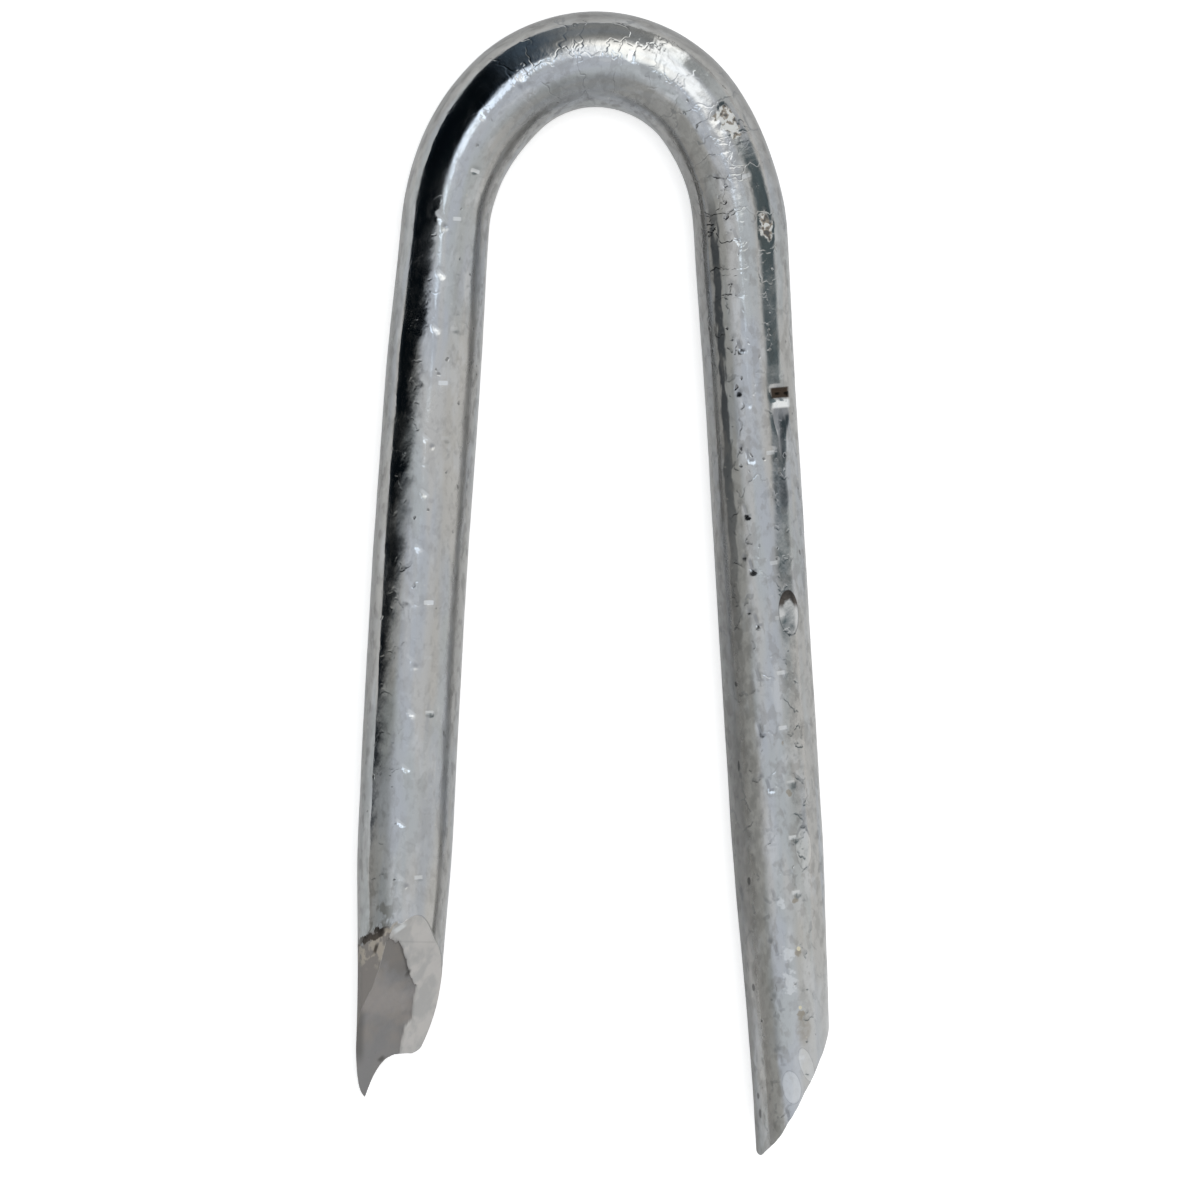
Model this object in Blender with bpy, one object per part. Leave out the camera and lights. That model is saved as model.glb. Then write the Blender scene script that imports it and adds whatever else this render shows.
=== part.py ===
"""Fence staple: one length of round galvanised wire, bent to a U and sheared to slanted points.

The staple lies on its side. X runs across the legs, +Y points to the crown, and Z is up from the
surface that it lies on. Everything is in metres.
"""

import math

import bmesh
import bpy
from mathutils import Matrix, Vector

# The wire: nine gauge with its zinc coat, and the flat that the feed rolls press along it
WIRE_DIAMETER = 0.0038
ROLL_FLAT_WIDTH = 0.0012

# The bend, along the wire's centreline. The apex is tighter than the shoulders on either side
APEX_RADIUS = 0.00512
LEFT_APEX_ANGLE = math.radians(44.0)
RIGHT_APEX_ANGLE = math.radians(56.4)
LEFT_SHOULDER_RADIUS = 0.00827
RIGHT_SHOULDER_RADIUS = 0.00936

# The legs: how far each leans outwards at the shoulder, and its length from there to mid cut.
# The left leg bows slightly, so that it leans less towards its point
LEFT_SPLAY = math.radians(4.9)
LEFT_BOW = math.radians(3.0)
LEFT_LEG_LENGTH = 0.03167
RIGHT_SPLAY = math.radians(3.47)
RIGHT_LEG_LENGTH = 0.03453

# The wire's width in the plane of the bend, as shares of its diameter. The former pinches the
# left neck and swells the apex, and the shear draws both ends thinner
APEX_WIDTH = 1.02
LEFT_CROWN_WIDTH = 1.02
LEFT_NECK_WIDTH = 0.945
LEFT_LEG_WIDTH = 1.018
LEFT_END_WIDTH = 0.885
RIGHT_CROWN_WIDTH = 0.968
RIGHT_NECK_WIDTH = 1.0
RIGHT_LEG_WIDTH = 0.974
RIGHT_END_WIDTH = 0.85
NECK_LENGTH = 0.0065
LEFT_TAPER_LENGTH = 0.0075
RIGHT_TAPER_LENGTH = 0.011

# Tooth marks of the feed rolls, across both flats all along the wire
TOOTH_PITCH = 0.0022
TOOTH_LENGTH = 0.00034
TOOTH_DEPTH = 0.00007

# The slanted points. The slash is measured from the wire's axis, and the roll turns it about
# that axis: at 0 the cut faces +X, at 90 degrees it faces up, at -90 degrees down
LEFT_SLASH_ANGLE = math.radians(28.7)
LEFT_SLASH_ROLL = math.radians(56.6)
RIGHT_SLASH_ANGLE = math.radians(32.1)
RIGHT_SLASH_ROLL = math.radians(-18.3)

# The left point tore as it came off the shear. A flake is gone from its outer side: the way it
# faces, how far its floor is from the axis, the floor's slope and where its wall stands
FLAKE_ROLL = math.radians(122.0)
FLAKE_FLOOR = 0.00150
FLAKE_SLOPE = math.radians(5.0)
FLAKE_WALL = -0.00268
FLAKE_WALL_LEAN = math.radians(24.0)

# The end of the left point broke short beside the tip, which leaves a claw. The break is level
# with the first figure past mid cut, and curls out to the tip from the second figure inwards
BREAK_LEVEL = 0.00175
BREAK_START = 0.00077
BREAK_CURL = 0.865

# How finely round forms are divided
SIDE_FACETS = 14
CROWN_STEP = math.radians(6.0)
LEG_STEP = 0.004
BREAK_STEPS = 14

# Worked out from the values above
WIRE_RADIUS = WIRE_DIAMETER / 2
FLAT_HALF = ROLL_FLAT_WIDTH / 2
CUT_STOCK = 2.6 * WIRE_RADIUS
CUTTER_HALF = 1.6 * WIRE_RADIUS
CUTTER_LENGTH = 4.0 * WIRE_RADIUS


def clear_scene():
    for old in list(bpy.data.objects):
        bpy.data.objects.remove(old)


def zinc_material():
    material = bpy.data.materials.new("galvanised_zinc")
    material.use_nodes = True
    shader = material.node_tree.nodes["Principled BSDF"]
    shader.inputs["Base Color"].default_value = (0.56, 0.57, 0.58, 1.0)
    shader.inputs["Metallic"].default_value = 1.0
    shader.inputs["Roughness"].default_value = 0.32
    return material


class WirePath:
    """The wire's centreline, from the left point over the crown to the right point."""

    def __init__(self):
        left_turn = math.pi / 2 - LEFT_SPLAY - LEFT_APEX_ANGLE
        right_turn = math.pi / 2 - RIGHT_SPLAY - RIGHT_APEX_ANGLE
        # Each stretch is its name, its length and the angle it turns through, clockwise
        self.stretches = [
            ("left point", CUT_STOCK, 0.0),
            ("left leg", LEFT_LEG_LENGTH, LEFT_BOW),
            ("left shoulder", LEFT_SHOULDER_RADIUS * left_turn, left_turn),
            ("left apex", APEX_RADIUS * LEFT_APEX_ANGLE, LEFT_APEX_ANGLE),
            ("right apex", APEX_RADIUS * RIGHT_APEX_ANGLE, RIGHT_APEX_ANGLE),
            ("right shoulder", RIGHT_SHOULDER_RADIUS * right_turn, right_turn),
            ("right leg", RIGHT_LEG_LENGTH, 0.0),
            ("right point", CUT_STOCK, 0.0),
        ]
        self.starts = {}
        self.ends = {}
        place = 0.0
        heading = math.pi / 2 - LEFT_SPLAY + LEFT_BOW
        position = Vector((0.0, 0.0, 0.0))
        for name, length, turn in self.stretches:
            self.starts[name] = place
            self.ends[name] = place + length
            setattr(self, name.replace(" ", "_"), (position, heading))
            position, heading = self.advance(position, heading, length, turn, length)
            place += length
        self.length = place

    @staticmethod
    def advance(position, heading, length, turn, distance):
        """Where the wire is and how it heads after a distance along a stretch."""
        if turn == 0.0:
            return position + Vector((math.cos(heading), math.sin(heading), 0.0)) * distance, heading
        radius = length / turn
        end = heading - turn * distance / length
        step = Vector((math.sin(heading) - math.sin(end), math.cos(end) - math.cos(heading), 0.0))
        return position + step * radius, end

    def at(self, place):
        """The point, forward direction and outward direction of the wire at a distance from its start."""
        for name, length, turn in self.stretches:
            if place <= self.ends[name] or name == "right point":
                position, heading = getattr(self, name.replace(" ", "_"))
                point, heading = self.advance(position, heading, length, turn, place - self.starts[name])
                forward = Vector((math.cos(heading), math.sin(heading), 0.0))
                outward = Vector((-forward.y, forward.x, 0.0))
                return point, forward, outward


def width_share(path, place):
    """The wire's width at a place, as a share of its diameter, eased between the named widths."""
    left_cut, left_neck = path.starts["left leg"], path.ends["left leg"]
    right_neck, right_cut = path.starts["right leg"], path.ends["right leg"]
    known = [
        (left_cut, LEFT_END_WIDTH),
        (left_cut + LEFT_TAPER_LENGTH, LEFT_LEG_WIDTH),
        (left_neck - NECK_LENGTH, LEFT_LEG_WIDTH),
        (left_neck, LEFT_NECK_WIDTH),
        (path.starts["left apex"], LEFT_CROWN_WIDTH),
        (path.starts["right apex"], APEX_WIDTH),
        ((path.starts["right shoulder"] + right_neck) / 2, RIGHT_CROWN_WIDTH),
        (right_neck, RIGHT_NECK_WIDTH),
        (right_neck + NECK_LENGTH, RIGHT_LEG_WIDTH),
        (right_cut - RIGHT_TAPER_LENGTH, RIGHT_LEG_WIDTH),
        (right_cut, RIGHT_END_WIDTH),
    ]
    if place <= left_cut:
        return LEFT_END_WIDTH
    for (before, low), (after, high) in zip(known, known[1:]):
        if place <= after:
            share = (place - before) / (after - before)
            return low + (high - low) * share * share * (3 - 2 * share)
    return RIGHT_END_WIDTH


def ring_places(path):
    """Where the wire gets a ring of points, and how deep the tooth mark is there."""
    rings = {}
    first, last = path.starts["left leg"], path.ends["right leg"]
    teeth = int((last - first) / TOOTH_PITCH)
    lead_in = (last - first - teeth * TOOTH_PITCH) / 2
    for tooth in range(teeth + 1):
        middle = first + lead_in + tooth * TOOTH_PITCH
        rings[middle - TOOTH_LENGTH / 2] = 0.0
        rings[middle] = TOOTH_DEPTH
        rings[middle + TOOTH_LENGTH / 2] = 0.0
    marked = sorted(rings)
    plain = [path.length]
    for name, length, turn in path.stretches:
        steps = max(1, math.ceil(abs(turn) / CROWN_STEP), math.ceil(length / LEG_STEP))
        plain += [path.starts[name] + length * step / steps for step in range(steps)]
    for place in plain:
        if all(abs(place - other) > TOOTH_LENGTH for other in marked):
            rings[place] = 0.0
    return sorted(rings.items())


def section(width, tooth_depth):
    """The wire's section, anticlockwise: two round sides joined by the roll flats above and below."""
    edge = math.acos(FLAT_HALF / WIRE_RADIUS)
    points = []
    for side in (0.0, math.pi):
        for facet in range(SIDE_FACETS + 1):
            angle = side - edge + 2 * edge * facet / SIDE_FACETS
            across = WIRE_RADIUS * math.cos(angle)
            level = WIRE_RADIUS * math.sin(angle)
            if facet in (0, SIDE_FACETS):
                level -= math.copysign(tooth_depth, level)
            points.append((across * width, level))
    return points


def object_from(form, name):
    bmesh.ops.recalc_face_normals(form, faces=form.faces)
    mesh = bpy.data.meshes.new(name)
    form.to_mesh(mesh)
    form.free()
    made = bpy.data.objects.new(name, mesh)
    bpy.context.scene.collection.objects.link(made)
    return made


def make_wire(path, material):
    """The bent wire, swept ring by ring along its centreline."""
    form = bmesh.new()
    rings = []
    for place, tooth_depth in ring_places(path):
        point, _, outward = path.at(place)
        width = width_share(path, place)
        rings.append([
            form.verts.new(point + outward * across + Vector((0.0, 0.0, level)))
            for across, level in section(width, tooth_depth)
        ])
    for ring, following in zip(rings, rings[1:]):
        for index in range(len(ring)):
            after = (index + 1) % len(ring)
            form.faces.new((ring[index], ring[after], following[after], following[index]))
    form.faces.new(rings[0])
    form.faces.new(rings[-1])
    wire = object_from(form, "fence_staple")
    wire.data.shade_smooth()
    wire.data.set_sharp_from_angle(angle=math.radians(30.0))
    wire.data.materials.append(material)
    return wire


def end_frame(path, place, end):
    """The frame at a cut: across the staple, up, and out along the wire. End is -1 left, +1 right."""
    point, forward, outward = path.at(place)
    axes = Matrix((outward * end, Vector((0.0, 0.0, 1.0)), forward * end)).transposed()
    return Matrix.Translation(point) @ axes.to_4x4()


def prism(name, frame, outline, low, high):
    """A straight-sided block over an outline of (across, out) points, between two levels."""
    form = bmesh.new()
    faces = []
    for level in (low, high):
        faces.append([form.verts.new(frame @ Vector((across, level, out))) for across, out in outline])
        form.faces.new(faces[-1])
    for index in range(len(outline)):
        after = (index + 1) % len(outline)
        form.faces.new((faces[0][index], faces[0][after], faces[1][after], faces[1][index]))
    return object_from(form, name)


def slash_cutter(name, frame, angle, roll):
    """A block that takes away all beyond a slanted plane through the axis at mid cut."""
    drop = CUTTER_HALF / math.tan(angle)
    outline = [
        (CUTTER_HALF, -drop),
        (-CUTTER_HALF, drop),
        (-CUTTER_HALF, drop + CUTTER_LENGTH),
        (CUTTER_HALF, drop + CUTTER_LENGTH),
    ]
    turned = frame @ Matrix.Rotation(roll, 4, "Z")
    return prism(name, turned, outline, -CUTTER_HALF, CUTTER_HALF)


def flake_cutter(name, frame):
    """A block that takes the flake: a floor that sinks towards the tip, and a leaning wall."""
    sink = CUTTER_LENGTH * math.tan(FLAKE_SLOPE)
    lean = CUTTER_HALF * math.tan(FLAKE_WALL_LEAN)
    outline = [
        (FLAKE_FLOOR, FLAKE_WALL),
        (FLAKE_FLOOR - sink, FLAKE_WALL + CUTTER_LENGTH),
        (FLAKE_FLOOR + CUTTER_HALF, FLAKE_WALL + CUTTER_LENGTH),
        (FLAKE_FLOOR + CUTTER_HALF, FLAKE_WALL - lean),
    ]
    turned = frame @ Matrix.Rotation(FLAKE_ROLL, 4, "Z")
    return prism(name, turned, outline, -CUTTER_HALF, CUTTER_HALF)


def break_cutter(name, frame):
    """A block that breaks the left point short, all but the claw at its outer side."""
    outline = [(CUTTER_HALF, BREAK_LEVEL)]
    for step in range(BREAK_STEPS + 1):
        across = BREAK_START - (BREAK_START + CUTTER_HALF * 0.7) * step / BREAK_STEPS
        curl = (BREAK_START - across) / WIRE_RADIUS
        outline.append((across, BREAK_LEVEL + BREAK_CURL * WIRE_RADIUS * curl**3))
    outline.append((outline[-1][0], outline[-1][1] + CUTTER_LENGTH))
    outline.append((CUTTER_HALF, outline[-1][1]))
    return prism(name, frame, outline, -CUTTER_HALF, CUTTER_HALF)


def cut_away(wire, cutter):
    cutter.hide_render = True
    cutter.display_type = "WIRE"
    cutter.parent = wire
    cut = wire.modifiers.new(cutter.name, "BOOLEAN")
    cut.operation = "DIFFERENCE"
    cut.object = cutter
    cut.solver = "EXACT"


def rest_on_origin(wire):
    """Moves the staple so that the middle of its footprint lies at the origin, on the ground."""
    bpy.context.view_layer.update()
    evaluated = wire.evaluated_get(bpy.context.evaluated_depsgraph_get())
    corners = [Vector(corner) for corner in evaluated.bound_box]
    lowest = Vector([min(corner[axis] for corner in corners) for axis in range(3)])
    highest = Vector([max(corner[axis] for corner in corners) for axis in range(3)])
    middle = (lowest + highest) / 2
    wire.location = (-middle.x, -middle.y, -lowest.z)


def main():
    clear_scene()
    path = WirePath()
    wire = make_wire(path, zinc_material())
    left = end_frame(path, path.starts["left leg"], -1.0)
    right = end_frame(path, path.ends["right leg"], 1.0)
    cut_away(wire, slash_cutter("left_slash", left, LEFT_SLASH_ANGLE, LEFT_SLASH_ROLL))
    cut_away(wire, flake_cutter("left_flake", left))
    cut_away(wire, break_cutter("left_break", left))
    cut_away(wire, slash_cutter("right_slash", right, RIGHT_SLASH_ANGLE, RIGHT_SLASH_ROLL))
    rest_on_origin(wire)


main()
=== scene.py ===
# %% [markdown]
# # A galvanised fence staple
# A fence staple is one short length of round steel wire with a coat of zinc. A machine feeds the
# wire with toothed rolls, bends it to a tall U over a former, and shears both ends at a slant, so
# that they bite into a post. This file dresses the plain CAD staple: it builds the same wire again
# with its marks, dents and torn point, and gives it a zinc finish.
# The CAD model comes in first, because every size and place here has to agree with it.

import math

import bmesh
import bpy
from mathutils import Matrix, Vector


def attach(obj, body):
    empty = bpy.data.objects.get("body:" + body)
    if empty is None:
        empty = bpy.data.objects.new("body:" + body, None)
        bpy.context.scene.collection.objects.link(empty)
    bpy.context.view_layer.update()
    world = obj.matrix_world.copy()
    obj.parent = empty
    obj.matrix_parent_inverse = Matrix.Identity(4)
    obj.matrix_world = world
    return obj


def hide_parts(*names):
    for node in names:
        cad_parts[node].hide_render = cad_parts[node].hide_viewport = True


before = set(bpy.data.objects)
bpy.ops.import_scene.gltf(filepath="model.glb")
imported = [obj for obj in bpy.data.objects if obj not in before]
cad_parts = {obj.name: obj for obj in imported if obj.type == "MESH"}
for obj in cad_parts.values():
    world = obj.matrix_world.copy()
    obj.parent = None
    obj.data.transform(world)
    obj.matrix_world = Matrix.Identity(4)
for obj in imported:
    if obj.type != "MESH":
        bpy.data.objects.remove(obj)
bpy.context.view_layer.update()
MM = 0.001

# %% [markdown]
# ## The path of the wire
# The middle line of the wire is a chain of straight runs and arcs: a leg, a shoulder, the tighter
# apex in two arcs, a shoulder and the other leg. A Bezier curve drawn by eye would look close, but
# each arc here has a radius that a bender could set, so the chain is worked out from those sizes.
# Past both cuts the path goes on for a little, because the slanted points reach beyond mid cut.

# %% Sizes of the wire and the bend
WIRE_DIAMETER = 3.8 * MM
ROLL_FLAT_WIDTH = 1.2 * MM
WIRE_RADIUS = WIRE_DIAMETER / 2
FLAT_LEVEL = math.sqrt(WIRE_RADIUS**2 - (ROLL_FLAT_WIDTH / 2) ** 2)
POINT_STOCK = 2.6 * WIRE_RADIUS

LEFT_SPLAY = math.radians(4.9)
LEFT_BOW = math.radians(3.0)
RIGHT_SPLAY = math.radians(3.47)
LEFT_APEX_TURN = math.radians(44.0)
RIGHT_APEX_TURN = math.radians(56.4)
LEFT_TURN = math.pi / 2 - LEFT_SPLAY - LEFT_APEX_TURN
RIGHT_TURN = math.pi / 2 - RIGHT_SPLAY - RIGHT_APEX_TURN
APEX_RADIUS = 5.12 * MM
LEFT_SHOULDER_RADIUS = 8.27 * MM
RIGHT_SHOULDER_RADIUS = 9.36 * MM
LEFT_LEG_LENGTH = 31.67 * MM
RIGHT_LEG_LENGTH = 34.53 * MM
# Each run of the wire is its name, its length and the angle that it turns through, clockwise
RUNS = (
    ("left point", POINT_STOCK, 0.0),
    ("left leg", LEFT_LEG_LENGTH, LEFT_BOW),
    ("left shoulder", LEFT_SHOULDER_RADIUS * LEFT_TURN, LEFT_TURN),
    ("left apex", APEX_RADIUS * LEFT_APEX_TURN, LEFT_APEX_TURN),
    ("right apex", APEX_RADIUS * RIGHT_APEX_TURN, RIGHT_APEX_TURN),
    ("right shoulder", RIGHT_SHOULDER_RADIUS * RIGHT_TURN, RIGHT_TURN),
    ("right leg", RIGHT_LEG_LENGTH, 0.0),
    ("right point", POINT_STOCK, 0.0),
)
# Where the path starts in the CAD model's frame, with the wire lying on its roll flat
PATH_START = Vector((-7.9569 * MM, -22.1555 * MM, FLAT_LEVEL))
starts = {}
length_so_far = 0.0
for run, run_length, _ in RUNS:
    starts[run] = length_so_far
    length_so_far += run_length
WIRE_LENGTH = length_so_far
LEFT_CUT = starts["left leg"]
RIGHT_CUT = starts["right point"]
print("Wire length in mm:", round(WIRE_LENGTH / MM, 2))

# %% Points along the path
PATH_STEP = 0.1 * MM


def path_points():
    """Points along the wire's middle line, from beyond the left point to beyond the right."""
    points = []
    start = PATH_START.copy()
    heading = math.pi / 2 - LEFT_SPLAY + LEFT_BOW
    for run, run_length, turn in RUNS:
        steps = math.ceil(run_length / PATH_STEP)
        for step in range(steps + 1):
            part = step / steps
            if turn == 0.0:
                offset = Vector((math.cos(heading), math.sin(heading), 0.0)) * run_length * part
            else:
                now = heading - turn * part
                offset = Vector((math.sin(heading) - math.sin(now), math.cos(now) - math.cos(heading), 0.0))
                offset *= run_length / turn
            if step > 0 or not points:
                points.append(start + offset)
        start = points[-1]
        heading -= turn
    return points


middle_line = path_points()
print("Points on the path:", len(middle_line))

# %% [markdown]
# ## Sums made of nodes
# The wire below is shaped by Geometry Nodes, and its zinc by shader nodes. Both need sums, and a sum
# in nodes is one Math node for each step. Placing each of them by hand makes long code, so this small
# class wraps a socket: Python's own plus, minus and times then lay the Math nodes. The same class
# serves both kinds of tree, because the Math node is the same in both.

# %% A number carried by a node
def plug(tree, node, inputs):
    """Sets a node's inputs: a number or colour is written in, and a socket or Reading is linked."""
    for key, value in inputs.items():
        if isinstance(value, Reading):
            tree.links.new(value.socket, node.inputs[key])
        elif isinstance(value, bpy.types.NodeSocket):
            tree.links.new(value, node.inputs[key])
        else:
            node.inputs[key].default_value = value
    return node


def lay(tree, kind, inputs=None, **settings):
    """Adds a node of a kind, with its settings and its inputs."""
    node = tree.nodes.new(kind)
    for name, value in settings.items():
        setattr(node, name, value)
    return plug(tree, node, inputs or {})


def tell(step, tree):
    """Prints how many nodes a tree has after a step."""
    print(f"{step}: {len(tree.nodes)} nodes so far")


class Reading:
    """A number that changes over the surface. Sums on it lay Math nodes."""

    def __init__(self, tree, socket):
        self.tree = tree
        self.socket = socket

    def math(self, operation, *others):
        inputs = dict(enumerate((self, *others)))
        return Reading(self.tree, lay(self.tree, "ShaderNodeMath", inputs, operation=operation).outputs[0])

    def __add__(self, other):
        return self.math("ADD", other)

    def __sub__(self, other):
        return self.math("SUBTRACT", other)

    def __mul__(self, other):
        return self.math("MULTIPLY", other)

    def __truediv__(self, other):
        return self.math("DIVIDE", other)

    def __neg__(self):
        return self.math("MULTIPLY", -1.0)

    def __rsub__(self, other):
        return (-self).math("ADD", other)

    def __pow__(self, power):
        return self.math("POWER", power)

    __radd__ = __add__

    def least(self, other):
        return self.math("MINIMUM", other)

    def most(self, other):
        return self.math("MAXIMUM", other)

    def above(self, level):
        return self.math("GREATER_THAN", level)

    def size(self):
        return self.math("ABSOLUTE")

    def ease(self, low, high):
        """0 below low, 1 above high and a smooth S between. With low over high it falls instead."""
        inputs = {0: self, 1: low, 2: high}
        node = lay(self.tree, "ShaderNodeMapRange", inputs, interpolation_type="SMOOTHSTEP")
        return Reading(self.tree, node.outputs[0])

    def ease_mm(self, low, high):
        return self.ease(low * MM, high * MM)

    def blend(self, other, share):
        """This reading where share is 0 and the other where it is 1."""
        return self + (other - self) * share


def hump(reading, middle, half_width):
    """1 at the middle, falling smoothly to 0 at half_width on either side."""
    return (reading - middle).size().ease(half_width, 0.0)


def noise(tree, across, along, level, scales, detail, seed):
    """Cloudy noise from about 0.25 to 0.75. Scales are lumps per millimetre in the three directions."""
    stretched = [reading * (scale / MM) for reading, scale in zip((across, along, level), scales)]
    place = lay(tree, "ShaderNodeCombineXYZ", {0: stretched[0] + seed, 1: stretched[1], 2: stretched[2]})
    node = lay(tree, "ShaderNodeTexNoise", {"Vector": place.outputs[0], "Scale": 1.0, "Detail": detail})
    return Reading(tree, node.outputs["Fac"])


def colour_mix(first, second, share):
    """A colour between two, where either may be a socket or written red, green and blue."""
    inputs = {}
    for index, colour in ((6, first), (7, second)):
        inputs[index] = (*colour, 1.0) if isinstance(colour, tuple) else colour
    inputs[0] = share
    return lay(share.tree, "ShaderNodeMix", inputs, data_type="RGBA").outputs[2]


class Layers:
    """A colour that is built up: each layer lies over the last by a share from 0 to 1."""

    def __init__(self, first, second, share):
        self.colour = colour_mix(first, second, share)

    def add(self, tint, share):
        self.colour = colour_mix(self.colour, tint, share)

# %% [markdown]
# ## The wire as one grid rolled into a tube
# The staple's main form follows a rule: a round section carried along a path. Curve to Mesh would do
# that, but it cuts the ends off square, and a Boolean at each point would leave ragged triangles that
# can't take fine relief. So the tree starts from a flat grid. One way across the grid is round the
# wire; the other way runs from the middle of the left cut face out to its rim, along the wire, and
# over the right rim to the middle of that face. Each point of the grid works out its own place, so
# the same mesh carries the round wire, both slanted cuts and every mark.

# %% Start the tree
wire_tree = bpy.data.node_groups.new("bent_wire", "GeometryNodeTree")
SIZE_INPUTS = {
    "Wire radius": ("NodeSocketFloat", WIRE_RADIUS),
    "Flat level": ("NodeSocketFloat", FLAT_LEVEL),
    "Faces round the wire": ("NodeSocketInt", 128),
    "Rings on the left face": ("NodeSocketInt", 36),
    "Rings along the wire": ("NodeSocketInt", 660),
    "Rings on the right face": ("NodeSocketInt", 26),
    "Tooth pitch": ("NodeSocketFloat", 2.2 * MM),
    "Tooth depth": ("NodeSocketFloat", 0.045 * MM),
    "Zinc waviness": ("NodeSocketFloat", 0.022 * MM),
    "Seed": ("NodeSocketFloat", 4.0),
}
wire_tree.interface.new_socket("Middle line", in_out="INPUT", socket_type="NodeSocketGeometry")
for input_name, (kind, value) in SIZE_INPUTS.items():
    socket = wire_tree.interface.new_socket(input_name, in_out="INPUT", socket_type=kind)
    socket.default_value = value
wire_tree.interface.new_socket("Wire", in_out="OUTPUT", socket_type="NodeSocketGeometry")
given = wire_tree.nodes.new("NodeGroupInput")


def size(name):
    return Reading(wire_tree, given.outputs[name])


print("Sizes that the tree takes:", len(SIZE_INPUTS))

# %% The grid, and how far along each point is
left_rings = size("Rings on the left face")
side_rings = size("Rings along the wire")
right_rings = size("Rings on the right face")
all_rings = left_rings + side_rings + right_rings
grid = lay(wire_tree, "GeometryNodeMeshGrid", {
    "Vertices X": all_rings + 1.0,
    "Vertices Y": size("Faces round the wire") + 1.0,
    "Size X": 1.0,
    "Size Y": 1.0,
})
grid_place = lay(wire_tree, "ShaderNodeSeparateXYZ",
                 {0: wire_tree.nodes.new("GeometryNodeInputPosition").outputs[0]})
ring = ((Reading(wire_tree, grid_place.outputs["X"]) + 0.5) * all_rings).math("ROUND")
turn_share = Reading(wire_tree, grid_place.outputs["Y"]) + 0.5
on_left_face = (left_rings - 0.5 - ring).above(0.0)
on_right_face = (ring - left_rings - side_rings - 0.5).above(0.0)
left_reach = (ring / left_rings).least(1.0)
right_reach = ((all_rings - ring) / right_rings).least(1.0)
side_share = ((ring - left_rings) / side_rings).most(0.0).least(1.0)
tell("Grid", wire_tree)

# %% The section: round on top and a roll flat underneath, which also hides the seam
turn = (turn_share - 0.25) * (2 * math.pi)
round_across = turn.math("COSINE")
round_level = turn.math("SINE")
upper_level = round_level * size("Flat level")
lower_level = (round_level * size("Wire radius")).most(-size("Flat level"))
section_level = lower_level.blend(upper_level, round_level.above(0.0))
tell("Section", wire_tree)

# %% [markdown]
# ## The cut faces
# The shear passes through the wire at a slant and leaves a long oval face. On the left point the last
# part tore instead: the end broke short and left a claw, and a flake came off the outer side. Each cut
# is a height above mid cut, worked out at every point of the section, and the lower one of two cuts
# wins. The flake is different: it planes the side of the wire, so it moves the side inwards.

# %% Slash, break and flake as heights over the section
# A slash is its angle from the wire's axis, and how far it is rolled about that axis
LEFT_SLASH = (math.radians(28.7), math.radians(56.6))
RIGHT_SLASH = (math.radians(32.1), math.radians(-18.3))
# The break lies level past mid cut and curls out to the claw from its start inwards. The corner of
# the broken lobe is rounded, and the claw is drawn out past the slash
BREAK_LEVEL = 1.80 * MM
BREAK_START = 0.15 * MM
BREAK_CURL = 1.95
BREAK_POWER = 2.6
LOBE_ROUNDED = 0.45 * MM
LOBE_CORNER = 0.40 * MM
LOBE_DROP = 0.19 * MM
CLAW_DRAW = 0.42 * MM
# The flake: the way it faces, how far its floor is from the axis, the floor's slope, and where its
# wall stands, how it slants and leans, and how ragged and how soft its edge is
FLAKE_ROLL = math.radians(122.0)
FLAKE_FLOOR = 1.56 * MM
FLAKE_SLOPE = math.radians(1.0)
FLAKE_WALL = -3.67 * MM
FLAKE_WALL_SLANT = -0.566
FLAKE_WALL_LEAN = math.radians(24.0)
FLAKE_RAGGED = 0.7 * MM
FLAKE_EDGE = 0.04 * MM
LEFT_END_WIDTH = 0.885
RIGHT_END_WIDTH = 0.85


def slash_height(across, level, slash):
    """How far out the sheared face is. Across and level are measured in the end's own frame."""
    angle, roll = slash
    slope = -1.0 / math.tan(angle)
    return across * (math.cos(roll) * slope) + level * (math.sin(roll) * slope)


def break_height(across):
    curl = ((BREAK_START - across) / WIRE_RADIUS).most(0.0)
    rounded = ((across - LOBE_ROUNDED) / LOBE_CORNER).most(0.0)
    return curl ** BREAK_POWER * (BREAK_CURL * WIRE_RADIUS) + BREAK_LEVEL - rounded ** 2.0 * LOBE_DROP


def planed(across, level, out):
    """The section after the flake: points beyond its floor move in to it, past its leaning wall."""
    direction = (math.cos(FLAKE_ROLL), math.sin(FLAKE_ROLL))
    reach = across * direction[0] + level * direction[1]
    floor = (out - FLAKE_WALL) * -math.tan(FLAKE_SLOPE) + FLAKE_FLOOR
    ragged = (noise(wire_tree, across, out, level, (3.0, 0.0, 3.0), 2.0, 23.0) - 0.5) * FLAKE_RAGGED
    behind_wall = out - FLAKE_WALL - across * FLAKE_WALL_SLANT + ragged
    leaning = behind_wall + (reach - FLAKE_FLOOR) * math.tan(FLAKE_WALL_LEAN)
    excess = (reach - floor).most(0.0) * leaning.ease(-FLAKE_EDGE, FLAKE_EDGE)
    return across - excess * direction[0], level - excess * direction[1]


print("Cuts at", [round(math.degrees(slash[0]), 1) for slash in (LEFT_SLASH, RIGHT_SLASH)], "degrees")

# %% [markdown]
# ## What the shear leaves on a face
# A shear blade first burnishes the wire: a smooth band where it slid. Then the steel lets go, and
# the rest of the face is a grey, grainy fracture, a little lower than the band. The ragged step
# between the two shows in the photograph, so it is part of the form, not only of the finish.

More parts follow.
